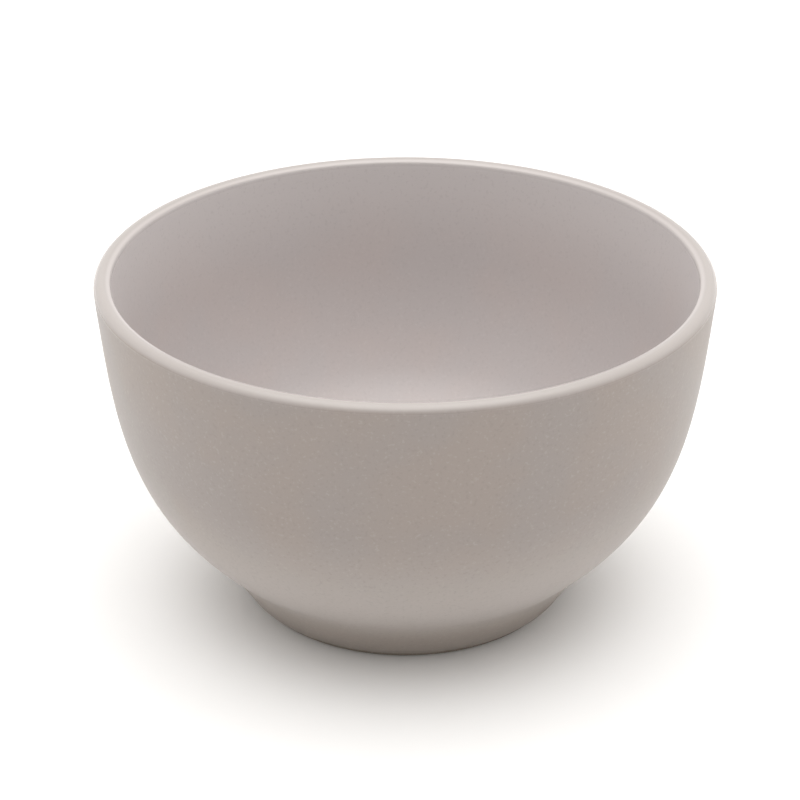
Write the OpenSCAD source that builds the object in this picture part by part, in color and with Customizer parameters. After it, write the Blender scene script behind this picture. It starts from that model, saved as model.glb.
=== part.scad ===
// Deep ceramic bowl on a flared foot ring, in millimetres.
// The origin is on the table, under the centre of the foot, and Z points up.
// Sizes are those of the finished bowl, measured over its glaze.

/* [Rim] */
// Outside diameter across the rim
rim_d = 145; // [125:1:170]
// Height from the table to the top of the rim
bowl_h = 83; // [65:1:105]
// Lean of the wall at the rim, outwards from upright, in degrees
wall_lean = 5.7; // [1:0.1:12]

/* [Lip] */
// Thickness of the lip
lip_w = 4; // [3.2:0.1:6]
// Round on the outer edge of the lip
lip_outer_r = 2; // [1:0.1:2.6]
// Round on the clay's inner edge of the lip, which the glaze thickens
lip_clay_r = 0.4; // [0.2:0.1:0.8]
// Fall of the lip's top towards the inside, in degrees
lip_fall = 20; // [5:1:30]

/* [Wall] */
// Turn of the outline at the neck, from the foot's flank to the belly, in degrees
neck_turn = 14.7; // [6:0.1:30]
// Fullness of the belly outside, as a share of the wall's rise
belly_share = 0.415; // [0.3:0.005:0.6]
// Straightness of the wall under the rim outside, as a share of its rise
upper_share = 0.436; // [0.3:0.005:0.6]
// Thickness of the wall at the belly, glaze to glaze
belly_t = 5; // [4.4:0.1:7]
// Height at which the hollow leaves the wall for the floor, as a share of the outside's curve
hollow_share = 0.25; // [0.15:0.01:0.4]
// Tightness of the turn from the wall to the floor, as a share of the way to their corner
corner_share = 0.5; // [0.3:0.01:0.7]
// Flatness of the floor, as a share of the corner's radius
floor_share = 0.8; // [0.6:0.01:0.9]
// Thickness of the floor at its centre, glaze to glaze
floor_t = 4.6; // [3.5:0.1:8]

/* [Foot] */
// Outside diameter of the standing edge
foot_d = 76; // [66:1:86]
// Outside diameter of the neck, where the foot meets the belly
neck_d = 94; // [84:1:104]
// Height of the neck
neck_h = 13.2; // [10:0.1:18]
// Hollow round in the neck's corner
neck_r = 6; // [1:0.5:15]
// Height of the foot ring, up to its seat under the bowl
ring_h = 6.5; // [5:0.1:8.5]
// Width of the standing face, corner to corner
ring_w = 5; // [3:0.1:8]
// Round on both corners of the standing face
foot_edge_r = 0.8; // [0.3:0.1:1.2]
// Draft of the recess inside the ring, in degrees
recess_draft = 8; // [0:1:20]
// Hollow turned into the underside, at its centre
ceiling_rise = 0.8; // [0.2:0.1:1.5]

/* [Glaze] */
// Thickness of each coat of glaze
glaze_t = 0.4; // [0.2:0.05:0.6]
// Height up to which the foot is wiped clean of glaze
wiped_h = 1.5; // [1.3:0.1:3]
// Round of the glaze that pools in the corner of the recess
pool_r = 1.5; // [0.5:0.1:2.5]

/* [Hidden] */
clay_colour = "#8b8177";
glaze_colour = "#a89f98";
// Straight pieces that stand for a round, for a long curve and for a full turn
arc_steps = 6;
curve_steps = 24;
turn_steps = 144;

// All outlines run from the foot over the lip to the floor, with the clay on their left.
// Depth is measured into the clay: none is the glaze's surface and glaze_t the clay's own.
function along(angle) = [cos(angle), sin(angle)];
function left_of(way) = [-way[1], way[0]] / norm(way);
function reversed(line) = [for (i = [len(line) - 1:-1:0]) line[i]];
function arc(centre, radius, from, to) =
    [for (i = [0:arc_steps]) centre + radius * along(from + (to - from) * i / arc_steps)];

// Cubic curve through the first and last of four points, and its heading at a share t of the way
function cubic(p, t) =
    pow(1 - t, 3) * p[0] + 3 * t * pow(1 - t, 2) * p[1] + 3 * t * t * (1 - t) * p[2] + pow(t, 3) * p[3];
function heading(p, t) =
    pow(1 - t, 2) * (p[1] - p[0]) + 2 * t * (1 - t) * (p[2] - p[1]) + t * t * (p[3] - p[2]);
function curve(p, depth) =
    [for (i = [0:curve_steps]) let (t = i / curve_steps) cubic(p, t) + depth * left_of(heading(p, t))];

// Point on a straight flank that starts at base and climbs at an angle, at a height and a depth
function on_flank(base, angle, height, depth) =
    let (way = along(angle), side = left_of(way))
    base + depth * side + way * (height - depth * side[1]) / way[1];

// Outer flank of the foot, and the neck's round, which touches the flank and the belly
foot_edge = [foot_d / 2, 0];
neck = [neck_d / 2, neck_h];
flank_angle = atan2(neck[1] - foot_edge[1], neck[0] - foot_edge[0]);
belly_angle = flank_angle - neck_turn;
neck_reach = neck_r * tan(neck_turn / 2);
neck_centre = neck - neck_reach * along(flank_angle) - neck_r * left_of(along(flank_angle));
function foot_flank(height, depth) = on_flank(foot_edge, flank_angle, height, depth);

// Lip: an outer round, a short fall towards the inside and a small inner round
wall_way = along(90 - wall_lean);
lip_centre = [rim_d / 2 - lip_outer_r, bowl_h - lip_outer_r];
lip_inner_r = lip_clay_r + glaze_t;
fall_normal = along(90 + lip_fall);
lip_inner_x = rim_d / 2 - lip_w + lip_inner_r;
lip_inner_z = ((lip_centre * fall_normal) + lip_outer_r - lip_inner_r - lip_inner_x * fall_normal[0])
    / fall_normal[1];
lip_inner_centre = [lip_inner_x, lip_inner_z];

// Belly and wall outside, from the neck to the lip
belly_start = neck + neck_reach * along(belly_angle);
wall_end = lip_centre + lip_outer_r * along(-wall_lean);
wall_rise = wall_end[1] - belly_start[1];
outside_curve = [
    belly_start,
    belly_start + belly_share * wall_rise * along(belly_angle),
    wall_end - upper_share * wall_rise * wall_way,
    wall_end
];

// Recess inside the foot ring, whose wall narrows upwards to the ceiling
recess_edge = foot_flank(0, glaze_t) - [ring_w, 0];
function recess_wall(height, depth) =
    on_flank(recess_edge, 90 + recess_draft, height, glaze_t - depth);
recess_r = recess_wall(ring_h, glaze_t)[0];
function ceiling(r) = ring_h + ceiling_rise * pow(1 - pow(r / recess_r, 2), 2);
function ceiling_line(reach, drop) =
    [for (i = [0:curve_steps]) let (r = reach * i / curve_steps) [r, ceiling(r) - drop]];

// Hollow: it follows the outside at the wall's thickness, which swells from the lip's to the belly's
hollow_start = lip_inner_centre + lip_inner_r * along(180 - wall_lean);
lip_t = (hollow_start - wall_end) * left_of(wall_way);
function wall_t(way_down) = lip_t + (belly_t - lip_t) * pow(way_down, 2) * (3 - 2 * way_down);
function hollow_wall(way_down, depth) =
    let (t = 1 - way_down * (1 - hollow_share))
    cubic(outside_curve, t) + (wall_t(way_down) - depth) * left_of(heading(outside_curve, t));

// Floor, from where the hollow leaves the wall, towards their corner and in to the centre
floor_z = ceiling(0) - glaze_t + floor_t;
floor_start = hollow_wall(1, 0);
floor_heading = -heading(outside_curve, hollow_share);
floor_corner = floor_start + floor_heading * (floor_z - floor_start[1]) / floor_heading[1];
floor_curve = [
    floor_start,
    floor_start + corner_share * (floor_corner - floor_start),
    [floor_share * floor_corner[0], floor_z],
    [0, floor_z]
];

// Outline of the outside, from a height on the foot's flank to the top of the lip
function outside_line(from_h, depth) = concat(
    [foot_flank(from_h, depth)],
    arc(neck_centre, neck_r + depth, flank_angle + 90, belly_angle + 90),
    curve(outside_curve, depth),
    arc(lip_centre, lip_outer_r - depth, -wall_lean, 90)
);

// Outline of the inside, from the top of the lip to the centre of the floor
function inside_line(depth) = concat(
    arc(lip_centre, lip_outer_r - depth, 90, 90 + lip_fall),
    arc(lip_inner_centre, lip_inner_r - depth, 90 + lip_fall, 180 - wall_lean),
    [for (i = [1:curve_steps - 1]) hollow_wall(i / curve_steps, depth)],
    curve(floor_curve, depth)
);

module turned(line) {
    rotate_extrude($fn = turn_steps) polygon(line);
}

// Bowl of fired clay: wall, belly and floor, with a flat seat for the foot ring
module clay_body() {
    color(clay_colour)
        turned(concat(outside_line(ring_h, glaze_t), inside_line(glaze_t), ceiling_line(recess_r, 0)));
}

// Flared ring of the same clay, joined on under the bowl, with a bare face to stand on
module foot_ring() {
    outer_round = foot_flank(foot_edge_r, glaze_t + foot_edge_r);
    inner_round = recess_wall(foot_edge_r, glaze_t + foot_edge_r);
    color(clay_colour)
        turned(concat(
            arc(inner_round, foot_edge_r, 180 + recess_draft, 270),
            arc(outer_round, foot_edge_r, -90, flank_angle - 90),
            [foot_flank(ring_h, glaze_t), recess_wall(ring_h, glaze_t)]
        ));
}

// Coat that the bowl is dipped in, from the wiped edge of the foot up to the lip
module outside_glaze() {
    color(glaze_colour)
        turned(concat(outside_line(wiped_h, 0), reversed(outside_line(wiped_h, glaze_t))));
}

// Coat poured into the bowl, from the lip down over the floor
module inside_glaze() {
    color(glaze_colour)
        turned(concat(inside_line(0), reversed(inside_line(glaze_t))));
}

// Coat under the bowl, inside the foot ring, which pools in the corner
module underside_glaze() {
    pool_centre = recess_wall(ring_h - glaze_t - pool_r, -pool_r);
    color(glaze_colour)
        turned(concat(
            [recess_wall(wiped_h, glaze_t), recess_wall(wiped_h, 0)],
            arc(pool_centre, pool_r, recess_draft, 90),
            reversed(ceiling_line(pool_centre[0], glaze_t)),
            ceiling_line(recess_r, 0)
        ));
}

clay_body();
foot_ring();
outside_glaze();
inside_glaze();
underside_glaze();
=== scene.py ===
from math import atan2, cos, degrees, pi, radians, sin, tan

import bpy
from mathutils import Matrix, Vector


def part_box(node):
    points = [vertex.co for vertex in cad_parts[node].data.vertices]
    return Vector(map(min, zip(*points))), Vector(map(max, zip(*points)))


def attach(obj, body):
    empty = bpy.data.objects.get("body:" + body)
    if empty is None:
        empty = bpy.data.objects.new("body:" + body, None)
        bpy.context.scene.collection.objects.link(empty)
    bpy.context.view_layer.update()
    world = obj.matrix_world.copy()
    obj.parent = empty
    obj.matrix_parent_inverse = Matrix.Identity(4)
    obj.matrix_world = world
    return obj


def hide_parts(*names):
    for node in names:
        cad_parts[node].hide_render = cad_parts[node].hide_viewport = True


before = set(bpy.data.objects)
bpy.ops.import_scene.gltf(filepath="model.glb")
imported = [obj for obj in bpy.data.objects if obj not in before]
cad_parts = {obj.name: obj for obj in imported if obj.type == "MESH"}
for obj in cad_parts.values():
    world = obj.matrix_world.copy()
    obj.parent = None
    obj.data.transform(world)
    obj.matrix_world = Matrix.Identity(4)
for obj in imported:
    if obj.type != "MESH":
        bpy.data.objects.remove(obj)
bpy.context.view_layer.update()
MM = 0.001


# Clay body: the bowl itself, wall and floor in one, thrown on the wheel from grey-buff stoneware clay
# and turned when leather-hard. The glaze covers all of it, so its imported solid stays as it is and
# takes the finish of the fired clay.
def linear(colour):
    """An sRGB hex colour as linear red, green, blue and alpha."""
    parts = [int(colour[i:i + 2], 16) / 255 for i in (1, 3, 5)]
    return [c / 12.92 if c <= 0.04045 else ((c + 0.055) / 1.055) ** 2.4 for c in parts] + [1]


def add_node(owner, kind, links=None, **settings):
    """Adds a node to a material or a world. Settings are its properties or, for names that start
    with in_, its inputs, by name or by number. Links give the outputs that feed its inputs."""
    tree = owner.node_tree
    node = tree.nodes.new(kind)
    for name, value in settings.items():
        if name.startswith("in_"):
            key = name[3:]
            node.inputs[int(key) if key.isdigit() else key.replace("_", " ")].default_value = value
        else:
            setattr(node, name, value)
    for name, source in (links or {}).items():
        tree.links.new(source, node.inputs[name])
    return node


def new_material(name):
    """A new material, its shader and its object coordinates."""
    material = bpy.data.materials.new(name)
    material.use_nodes = True
    place = add_node(material, "ShaderNodeTexCoord").outputs["Object"]
    return material, material.node_tree.nodes["Principled BSDF"], place


CLAY_BASE = "#a1978b"
CLAY_DARK = "#867b70"
CLAY_GRIT = "#bfb4a7"
GRIT_SIZE = 0.5 * MM
GRIT_EDGE, GRIT_CORE = 0.61, 0.74
CLAY_CLOUD = 9 * MM
CLAY_GRAIN_DEPTH = 0.05 * MM
CLAY_ROUGHNESS = 0.85
CERAMIC_IOR = 1.5

# Fired stoneware, bare: turned with a steel tool, so it is dry and matt, with pale grit dragged open
# by the tool, soft clouds of iron and no shine. Real grit is 0.2 to 0.5 mm, and its coarse end shows.
fired_clay, shader, place = new_material("fired_stoneware_turned")
clouds = add_node(
    fired_clay, "ShaderNodeTexNoise", {"Vector": place}, in_Scale=1 / CLAY_CLOUD, in_Detail=3,
)
grit = add_node(
    fired_clay, "ShaderNodeTexNoise", {"Vector": place}, in_Scale=1 / GRIT_SIZE, in_Detail=2,
)
cloud_mix = add_node(
    fired_clay, "ShaderNodeMix", {0: clouds.outputs["Fac"]},
    data_type="RGBA", in_6=linear(CLAY_DARK), in_7=linear(CLAY_BASE),
)
grit_share = add_node(
    fired_clay, "ShaderNodeMapRange", {"Value": grit.outputs["Fac"]},
    in_From_Min=GRIT_EDGE, in_From_Max=GRIT_CORE,
)
clay_colour = add_node(
    fired_clay, "ShaderNodeMix", {0: grit_share.outputs["Result"], 6: cloud_mix.outputs[2]},
    data_type="RGBA", in_7=linear(CLAY_GRIT),
)
clay_grain = add_node(
    fired_clay, "ShaderNodeBump", {"Height": grit.outputs["Fac"]},
    in_Strength=1, in_Distance=CLAY_GRAIN_DEPTH,
)
fired_clay.node_tree.links.new(clay_colour.outputs[2], shader.inputs["Base Color"])
fired_clay.node_tree.links.new(clay_grain.outputs["Normal"], shader.inputs["Normal"])
shader.inputs["Roughness"].default_value = CLAY_ROUGHNESS
shader.inputs["IOR"].default_value = CERAMIC_IOR

clay_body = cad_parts["clay_body"]
clay_body.data.materials.clear()
clay_body.data.materials.append(fired_clay)


# Foot ring: a flared ring of the same clay under the bowl, turned to a flat, wiped standing face.
# Its glaze stops just above the table, so the lowest band, both rounded corners and the face are bare.
# All outlines are points of radius and height in a half-plane, with the clay on their left.
GLAZE_T = 0.4 * MM
RING_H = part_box("foot_ring")[1].z
RING_W = 5 * MM
FOOT_EDGE = Vector((38, 0)) * MM
NECK = Vector((47, 13.2)) * MM
FOOT_ROUND = 0.8 * MM
RECESS_DRAFT = 8
FLANK_ANGLE = degrees(atan2(NECK.y - FOOT_EDGE.y, NECK.x - FOOT_EDGE.x))
MARK_PITCH = 0.75 * MM
MARK_DEPTH = 0.05 * MM
MARK_STEPS = 8
ARC_STEPS = 8
TURN_STEPS = 192
WELD = MM / 500
SMOOTH_ANGLE = 35


def along(angle):
    """The way that climbs at an angle, in degrees from the level."""
    return Vector((cos(radians(angle)), sin(radians(angle))))


def left_of(way):
    return Vector((-way.y, way.x)).normalized()


def arc(centre, radius, start, end, steps=ARC_STEPS):
    return [
        centre + radius * along(start + (end - start) * i / steps)
        for i in range(steps + 1)
    ]


def on_flank(base, angle, height, depth):
    """The point on a straight flank at a height, sunk into the clay by a depth."""
    way, side = along(angle), left_of(along(angle))
    return base + depth * side + way * ((height - depth * side.y) / way.y)


def foot_flank(height, depth):
    return on_flank(FOOT_EDGE, FLANK_ANGLE, height, depth)


def recess_wall(height, depth):
    recess_edge = foot_flank(0, GLAZE_T) - Vector((RING_W, 0))
    return on_flank(recess_edge, 90 + RECESS_DRAFT, height, GLAZE_T - depth)


def edit(obj):
    """Edit mode on one object, with all of it selected."""
    bpy.ops.object.select_all(action="DESELECT")
    bpy.context.view_layer.objects.active = obj
    obj.select_set(True)
    bpy.ops.object.mode_set(mode="EDIT")
    bpy.ops.mesh.select_all(action="SELECT")


def turn(name, outline):
    """Draws an outline by extruding one point along it, spins it round the axis and smooths it."""
    bpy.ops.object.select_all(action="DESELECT")
    bpy.ops.mesh.primitive_plane_add(size=MM, location=(outline[0].x, 0, outline[0].y))
    obj = bpy.context.object
    obj.name = obj.data.name = name
    bpy.ops.object.transform_apply(location=True, rotation=True, scale=True)
    edit(obj)
    bpy.ops.mesh.merge(type="CENTER")
    for here, there in zip(outline, outline[1:]):
        step = (there.x - here.x, 0, there.y - here.y)
        bpy.ops.mesh.extrude_vertices_move(TRANSFORM_OT_translate={"value": step})
    bpy.ops.mesh.select_all(action="SELECT")
    bpy.ops.mesh.spin(steps=TURN_STEPS, angle=2 * pi, center=(0, 0, 0), axis=(0, 0, 1))
    bpy.ops.mesh.select_all(action="SELECT")
    bpy.ops.mesh.remove_doubles(threshold=WELD)
    bpy.ops.mesh.normals_make_consistent(inside=False)
    bpy.ops.object.mode_set(mode="OBJECT")
    bpy.ops.object.shade_smooth_by_angle(angle=radians(SMOOTH_ANGLE))
    return obj


inner_round = recess_wall(FOOT_ROUND, GLAZE_T + FOOT_ROUND)
outer_round = foot_flank(FOOT_ROUND, GLAZE_T + FOOT_ROUND)
face_w = outer_round.x - inner_round.x
face_steps = MARK_STEPS * round(face_w / MARK_PITCH)
face = [
    Vector((inner_round.x + face_w * i / face_steps, MARK_DEPTH * sin(pi * i / MARK_STEPS) ** 2))
    for i in range(1, face_steps)
]
ring_outline = (
    arc(inner_round, FOOT_ROUND, 180 + RECESS_DRAFT, 270)
    + face
    + arc(outer_round, FOOT_ROUND, -90, FLANK_ANGLE - 90)
    + [foot_flank(RING_H, GLAZE_T), recess_wall(RING_H, GLAZE_T), recess_wall(FOOT_ROUND, GLAZE_T)]
)
foot_ring = turn("foot_ring_turned", ring_outline)
foot_ring.data.materials.append(fired_clay)
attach(foot_ring, "root")
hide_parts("foot_ring")


# Outside glaze: one coat that the bowl is dipped in, from the wiped edge of the foot up to the top of
# the lip. In firing it draws back a little from the wiped edge and ends there in a soft roll.
RIM_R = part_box("outside_glaze")[1].x
BOWL_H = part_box("outside_glaze")[1].z
WALL_LEAN = 5.7
LIP_OUTER_R = 2 * MM
NECK_TURN = 14.7
NECK_R = 6 * MM
NECK_POOL_R = 14 * MM
BELLY_SHARE = 0.415
UPPER_SHARE = 0.436
WIPED_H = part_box("outside_glaze")[0].z
ROLL_R = 0.45 * MM
ROLL_W = 2.4 * MM
ROLL_SWELL = 0.12 * MM
ROLL_STEPS = 14
LIP_STEPS = 14
POOL_STEPS = 12
POOL_SEARCH = 0.3
POOL_HALVINGS = 30
CURVE_STEPS = 48


def cubic(p, t):
    """The point at a share t of the way along a curve with four control points."""
    return (1 - t) ** 3 * p[0] + 3 * t * (1 - t) ** 2 * p[1] + 3 * t * t * (1 - t) * p[2] + t ** 3 * p[3]


def heading(p, t):
    """The way that the curve heads there."""
    return (1 - t) ** 2 * (p[1] - p[0]) + 2 * t * (1 - t) * (p[2] - p[1]) + t * t * (p[3] - p[2])


def curve(p, depth):
    """The whole curve, sunk into the clay by a depth."""
    shares = [i / CURVE_STEPS for i in range(CURVE_STEPS + 1)]
    return [cubic(p, t) + depth * left_of(heading(p, t)) for t in shares]


def roll_depth(rise):
    """How far the glaze lies under its even surface, at a rise above the wiped edge."""
    rounded = (1 - (1 - min(rise / ROLL_R, 1)) ** 2) ** 0.5
    return GLAZE_T * (1 - rounded) - ROLL_SWELL * sin(pi * rise / ROLL_W) * rounded


belly_angle = FLANK_ANGLE - NECK_TURN
neck_reach = NECK_R * tan(radians(NECK_TURN / 2))
neck_centre = NECK - neck_reach * along(FLANK_ANGLE) - NECK_R * left_of(along(FLANK_ANGLE))
wall_way = along(90 - WALL_LEAN)
lip_centre = Vector((RIM_R - LIP_OUTER_R, BOWL_H - LIP_OUTER_R))
belly_start = NECK + neck_reach * along(belly_angle)
wall_end = lip_centre + LIP_OUTER_R * along(-WALL_LEAN)
wall_rise = wall_end.y - belly_start.y
outside_curve = [
    belly_start,
    belly_start + BELLY_SHARE * wall_rise * along(belly_angle),
    wall_end - UPPER_SHARE * wall_rise * wall_way,
    wall_end,
]
lip_round = arc(lip_centre, LIP_OUTER_R, -WALL_LEAN, 90, LIP_STEPS)
lip_round_clay = arc(lip_centre, LIP_OUTER_R - GLAZE_T, -WALL_LEAN, 90, LIP_STEPS)


def pool_gap(t):
    """How far a round that touches the belly at a share t of its curve stands off the foot's flank."""
    centre = cubic(outside_curve, t) - NECK_POOL_R * left_of(heading(outside_curve, t))
    return (FOOT_EDGE - centre).dot(left_of(along(FLANK_ANGLE))) - NECK_POOL_R


# Glaze gathers in the neck while it is molten, so its round there is wider than the clay's. The place
# where that round leaves the belly is found by halving the span that it must lie in.
low_t, high_t = 0, POOL_SEARCH
for _ in range(POOL_HALVINGS):
    middle_t = (low_t + high_t) / 2
    low_t, high_t = (middle_t, high_t) if pool_gap(middle_t) < 0 else (low_t, middle_t)
pool_way = heading(outside_curve, low_t)
neck_pool_centre = cubic(outside_curve, low_t) - NECK_POOL_R * left_of(pool_way)
pool_angle = degrees(atan2(pool_way.y, pool_way.x))
neck_pool = arc(neck_pool_centre, NECK_POOL_R, FLANK_ANGLE + 90, pool_angle + 90, POOL_STEPS)

roll = [
    foot_flank(WIPED_H + ROLL_W * (i / ROLL_STEPS) ** 2, roll_depth(ROLL_W * (i / ROLL_STEPS) ** 2))
    for i in range(ROLL_STEPS + 1)
]
wall_face = [cubic(outside_curve, low_t + (1 - low_t) * i / CURVE_STEPS) for i in range(1, CURVE_STEPS)]
neck_clay = arc(neck_centre, NECK_R + GLAZE_T, FLANK_ANGLE + 90, belly_angle + 90)
clay_face = neck_clay + curve(outside_curve, GLAZE_T)[1:-1] + lip_round_clay
outside_outline = (
    roll + neck_pool + wall_face + lip_round + clay_face[::-1] + [foot_flank(RING_H, GLAZE_T), roll[0]]
)
outside_glaze = turn("outside_glaze_coat", outside_outline)

# Tones of the dipped coat. A band is a tone, the height where it begins and the height where it is
# in full. An edge and a core are the values of a noise between which its marks come in.
DIPPED = {
    "tone": "#968d88", "cloud": "#988d86", "painted_light": "#aca49f",
    "dark_speck": "#7f7772", "pale_speck": "#b6aea9", "lip": "#b0a8a3", "foot": "#988e86",
}
# The first band paints the lower belly paler from 52 mm down to 20 mm: painted light, standing in for
# light bounced up from the table. The foot band brings the tone back to about the plain tone at the neck
# and foot.
DIPPED_BANDS = [("painted_light", 52 * MM, 20 * MM), ("foot", 17 * MM, 7 * MM)]
DIPPED_LIP = [("lip", BOWL_H - 1.9 * MM, BOWL_H - 0.5 * MM)]
DIPPED_SPECK_SHARE = 0.2
DIPPED_PEEL = 0.03 * MM
CLOUD_SIZE = 22 * MM
CLOUD_EDGE, CLOUD_CORE = 0.36, 0.64
SPECK_SIZE = 0.8 * MM
DARK_SPECK_EDGE, DARK_SPECK_CORE = 0.42, 0.28
PALE_SPECK_EDGE, PALE_SPECK_CORE = 0.6, 0.74
PEEL_SIZE = 1.6 * MM
SATIN_ROUGHNESS = (0.38, 0.46)
LIP_ROUGHNESS = 0.22
LIP_GLOSS_EDGE = BOWL_H - 2.4 * MM
LIP_GLOSS_FULL = BOWL_H - 1.2 * MM


def satin_glaze(name, tones, bands, lip_bands, speck_share, peel_depth):
    """Satin-matt stoneware glaze, dipped or poured and fired: a little opaque crystal in the glass
    makes it silky, with a broad soft sheen, faint clouds, fine speckle and a light orange peel. Over
    the lip it runs glassy and free of specks.
    Real speckle is 0.1 to 0.3 mm, so it is drawn about three times as coarse to show at all."""
    glaze, shader, place = new_material(name)
    height = add_node(glaze, "ShaderNodeSeparateXYZ", {0: place}).outputs["Z"]
    clouds, specks, peel = [
        add_node(
            glaze, "ShaderNodeTexNoise", {"Vector": place}, in_Scale=1 / size, in_Detail=detail,
        ).outputs["Fac"]
        for size, detail in ((CLOUD_SIZE, 2), (SPECK_SIZE, 1), (PEEL_SIZE, 3))
    ]

    def share(source, edge, core, most=1.0):
        """From none where the source is at the edge's value to the most at the core's, softly."""
        return add_node(
            glaze, "ShaderNodeMapRange", {"Value": source}, interpolation_type="SMOOTHSTEP",
            in_From_Min=edge, in_From_Max=core, in_To_Max=most,
        ).outputs["Result"]

    def over(below, colour, amount):
        """One tone laid over what is below it, by an amount from another node."""
        links = {0: amount} if isinstance(below, str) else {0: amount, 6: below}
        mix = add_node(glaze, "ShaderNodeMix", links, data_type="RGBA", in_7=linear(colour))
        if isinstance(below, str):
            mix.inputs[6].default_value = linear(below)
        return mix.outputs[2]

    tone = over(tones["tone"], tones["cloud"], share(clouds, CLOUD_EDGE, CLOUD_CORE))
    # Bands by height lay tones over the clouds. Some of these bands are painted light, as each coat's
    # band list says.
    for band, edge, full in bands:
        tone = over(tone, tones[band], share(height, edge, full))
    dark_specks = share(specks, DARK_SPECK_EDGE, DARK_SPECK_CORE, speck_share)
    pale_specks = share(specks, PALE_SPECK_EDGE, PALE_SPECK_CORE, speck_share)
    tone = over(tone, tones["dark_speck"], dark_specks)
    tone = over(tone, tones["pale_speck"], pale_specks)
    for band, edge, full in lip_bands:
        tone = over(tone, tones[band], share(height, edge, full))
    satin = add_node(
        glaze, "ShaderNodeMapRange", {"Value": clouds},
        in_To_Min=SATIN_ROUGHNESS[0], in_To_Max=SATIN_ROUGHNESS[1],
    ).outputs["Result"]
    on_lip = share(height, LIP_GLOSS_EDGE, LIP_GLOSS_FULL)
    roughness = add_node(glaze, "ShaderNodeMix", {0: on_lip, 2: satin}, in_3=LIP_ROUGHNESS)
    bump = add_node(glaze, "ShaderNodeBump", {"Height": peel}, in_Distance=peel_depth)
    glaze.node_tree.links.new(tone, shader.inputs["Base Color"])
    glaze.node_tree.links.new(roughness.outputs[0], shader.inputs["Roughness"])
    glaze.node_tree.links.new(bump.outputs["Normal"], shader.inputs["Normal"])
    shader.inputs["IOR"].default_value = CERAMIC_IOR
    return glaze


outside_satin = satin_glaze(
    "satin_glaze_dipped", DIPPED, DIPPED_BANDS, DIPPED_LIP, DIPPED_SPECK_SHARE, DIPPED_PEEL,
)
outside_glaze.data.materials.append(outside_satin)
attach(outside_glaze, "root")
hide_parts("outside_glaze")


# Inside glaze: the same glaze poured in and swirled, from the top of the lip over the floor. It lies
# thicker and smoother than the dipped coat, so it hides the clay better and fires paler and cooler.
POURED = {
    "tone": "#bcb5b3", "cloud": "#beb5b2", "painted_light": "#cec8c6",
    "dark_speck": "#a8a19f", "pale_speck": "#cdc7c5", "edge": "#beb6b2", "lip": "#b0a8a3",
}
# The first band paints the hollow paler over its top 28 mm, up to the lip: painted light, standing in
# for the extra room light that reaches the wall near the rim.
POURED_BANDS = [("painted_light", BOWL_H - 28 * MM, BOWL_H)]
POURED_LIP = [
    ("edge", BOWL_H - 1.1 * MM, BOWL_H - 0.6 * MM),
    ("lip", BOWL_H - 0.35 * MM, BOWL_H - 0.05 * MM),
]
POURED_SPECK_SHARE = 0.18
POURED_PEEL = 0.018 * MM
LIP_W = 4 * MM
LIP_CLAY_R = 0.4 * MM
LIP_FALL = 20
BELLY_T = 5 * MM
HOLLOW_SHARE = 0.25
CORNER_SHARE = 0.5
FLOOR_SHARE = 0.8
FLOOR_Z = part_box("inside_glaze")[0].z + GLAZE_T
INNER_STEPS = 12

lip_inner_r = LIP_CLAY_R + GLAZE_T
fall_normal = along(90 + LIP_FALL)
lip_inner_x = RIM_R - LIP_W + lip_inner_r
fall_line = lip_centre.dot(fall_normal) + LIP_OUTER_R - lip_inner_r
lip_inner_centre = Vector((lip_inner_x, (fall_line - lip_inner_x * fall_normal.x) / fall_normal.y))
hollow_start = lip_inner_centre + lip_inner_r * along(180 - WALL_LEAN)
lip_t = (hollow_start - wall_end).dot(left_of(wall_way))


def hollow_wall(way_down, depth):
    """The hollow follows the outside at the wall's thickness, which swells towards the belly."""
    t = 1 - way_down * (1 - HOLLOW_SHARE)
    wall_t = lip_t + (BELLY_T - lip_t) * way_down ** 2 * (3 - 2 * way_down)
    return cubic(outside_curve, t) + (wall_t - depth) * left_of(heading(outside_curve, t))


floor_start = hollow_wall(1, 0)
floor_heading = -heading(outside_curve, HOLLOW_SHARE)
floor_corner = floor_start + floor_heading * ((FLOOR_Z - floor_start.y) / floor_heading.y)
floor_curve = [
    floor_start,
    floor_start + CORNER_SHARE * (floor_corner - floor_start),
    Vector((FLOOR_SHARE * floor_corner.x, FLOOR_Z)),
    Vector((0, FLOOR_Z)),
]


def inside_line(depth):
    """The hollow's outline from the top of the lip to the centre of the floor, sunk by a depth."""
    return (
        arc(lip_centre, LIP_OUTER_R - depth, 90, 90 + LIP_FALL)
        + arc(lip_inner_centre, lip_inner_r - depth, 90 + LIP_FALL, 180 - WALL_LEAN, INNER_STEPS)
        + [hollow_wall(i / CURVE_STEPS, depth) for i in range(1, CURVE_STEPS)]
        + curve(floor_curve, depth)
    )


inside_glaze = turn("inside_glaze_coat", inside_line(0)[::-1] + inside_line(GLAZE_T))
inside_satin = satin_glaze(
    "satin_glaze_poured", POURED, POURED_BANDS, POURED_LIP, POURED_SPECK_SHARE, POURED_PEEL,
)
inside_glaze.data.materials.append(inside_satin)
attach(inside_glaze, "root")
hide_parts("inside_glaze")


# Underside glaze: the coat inside the foot ring, over the turned underside of the bowl. The turning
# tool's rings show softly through it, and it pools in the corner and rolls up at its wiped edge.
POOL_R = 1.5 * MM
RING_PITCH = 2.4 * MM
RING_DEPTH = 0.07 * MM
CEILING_RISE = 0.8 * MM
CEILING_STEPS = 120

recess_r = recess_wall(RING_H, GLAZE_T).x
pool_centre = recess_wall(RING_H - GLAZE_T - POOL_R, -POOL_R)


def ceiling(r):
    return RING_H + CEILING_RISE * (1 - (r / recess_r) ** 2) ** 2


def tool_rings(r):
    """The turning rings, which fade out at the centre and towards the pool."""
    fade = sin(pi * min(r / pool_centre.x, 1)) ** 0.5
    return RING_DEPTH * fade * sin(pi * r / RING_PITCH) ** 2


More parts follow.
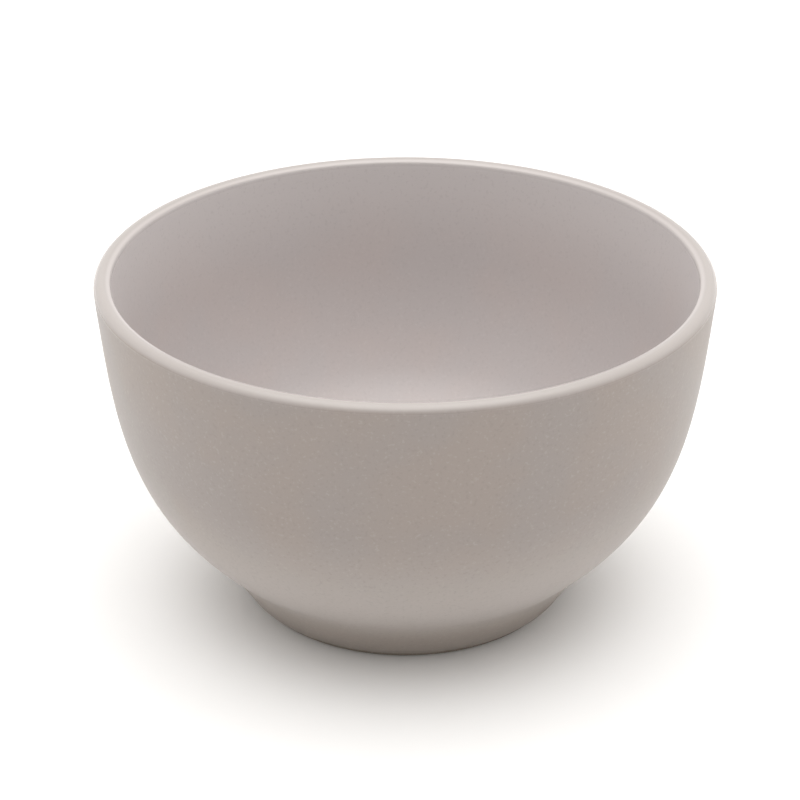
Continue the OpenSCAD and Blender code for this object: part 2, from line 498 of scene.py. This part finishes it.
face_radii = [pool_centre.x * i / CEILING_STEPS for i in range(CEILING_STEPS + 1)]
clay_radii = [recess_r * i / CURVE_STEPS for i in range(CURVE_STEPS + 1)]
ceiling_face = [Vector((r, ceiling(r) - GLAZE_T + tool_rings(r))) for r in face_radii]
ceiling_clay = [Vector((r, ceiling(r))) for r in clay_radii]
recess_roll = [
    recess_wall(WIPED_H + ROLL_W * (i / ROLL_STEPS) ** 2, roll_depth(ROLL_W * (i / ROLL_STEPS) ** 2))
    for i in range(ROLL_STEPS + 1)
]
underside_outline = (
    ceiling_face + arc(pool_centre, POOL_R, 90, RECESS_DRAFT) + recess_roll[::-1] + ceiling_clay[::-1]
)
underside_glaze = turn("underside_glaze_coat", underside_outline)
underside_glaze.data.materials.append(outside_satin)
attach(underside_glaze, "root")
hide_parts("underside_glaze")


# Floor: a plain pale studio floor, wide enough to fill the view from any side.
FLOOR_R = 4
FLOOR_SIDES = 96
FLOOR_TONE = "#f8f7f5"
FLOOR_ROUGHNESS = 0.9

bpy.ops.object.select_all(action="DESELECT")
bpy.ops.mesh.primitive_circle_add(vertices=FLOOR_SIDES, radius=FLOOR_R, fill_type="NGON")
floor = bpy.context.object
floor.name = "studio_floor"
painted_board, shader, _ = new_material("painted_board")
shader.inputs["Base Color"].default_value = linear(FLOOR_TONE)
shader.inputs["Roughness"].default_value = FLOOR_ROUGHNESS
floor.data.materials.append(painted_board)


# Light: one soft white room, by direction. The walls are an even white, apart from a dark patch low
# behind the camera, and most of the light comes from soft boxes under the ceiling.
WALL_LIGHT = 1
DARK_Y, WALL_Y = -0.95, -0.55
CEILING_LIGHT = 3.15
CEILING_EDGE_Z, CEILING_FULL_Z = 0.7, 1

world = bpy.data.worlds.new("white_room")
bpy.context.scene.world = world
world.use_nodes = True
room_way = add_node(world, "ShaderNodeTexCoord").outputs["Generated"]
way_parts = add_node(world, "ShaderNodeSeparateXYZ", {0: room_way})
walls = add_node(
    world, "ShaderNodeMapRange", {"Value": way_parts.outputs["Y"]}, interpolation_type="SMOOTHSTEP",
    in_From_Min=DARK_Y, in_From_Max=WALL_Y, in_To_Max=WALL_LIGHT,
)
ceiling_share = add_node(
    world, "ShaderNodeMapRange", {"Value": way_parts.outputs["Z"]}, interpolation_type="SMOOTHSTEP",
    in_From_Min=CEILING_EDGE_Z, in_From_Max=CEILING_FULL_Z,
)
room_light = add_node(
    world, "ShaderNodeMix", {0: ceiling_share.outputs["Result"], 2: walls.outputs["Result"]},
    in_3=CEILING_LIGHT,
)
background = world.node_tree.nodes["Background"]
background.inputs["Color"].default_value = (1, 1, 1, 1)
world.node_tree.links.new(room_light.outputs[0], background.inputs["Strength"])


# Camera: a long lens, 27 degrees above the table, aimed at the middle of the bowl's axis.
PHOTO_W = 800
AXIS_X = 405.3
FOCAL_PX = 2506.6
SENSOR_W = 36
VIEW_DOWN = 26.77
AIM_H = 48.36 * MM
DISTANCE = 600.6 * MM

camera_place = (0, -DISTANCE * cos(radians(VIEW_DOWN)), AIM_H + DISTANCE * sin(radians(VIEW_DOWN)))
bpy.ops.object.camera_add(location=camera_place, rotation=(radians(90 - VIEW_DOWN), 0, 0))
camera = bpy.context.object
camera.data.sensor_width = SENSOR_W
camera.data.lens = FOCAL_PX * SENSOR_W / PHOTO_W
camera.data.shift_x = (PHOTO_W / 2 - AXIS_X) / PHOTO_W
camera.data.clip_start = MM
bpy.context.scene.camera = camera
bpy.context.scene.view_settings.view_transform = "Standard"
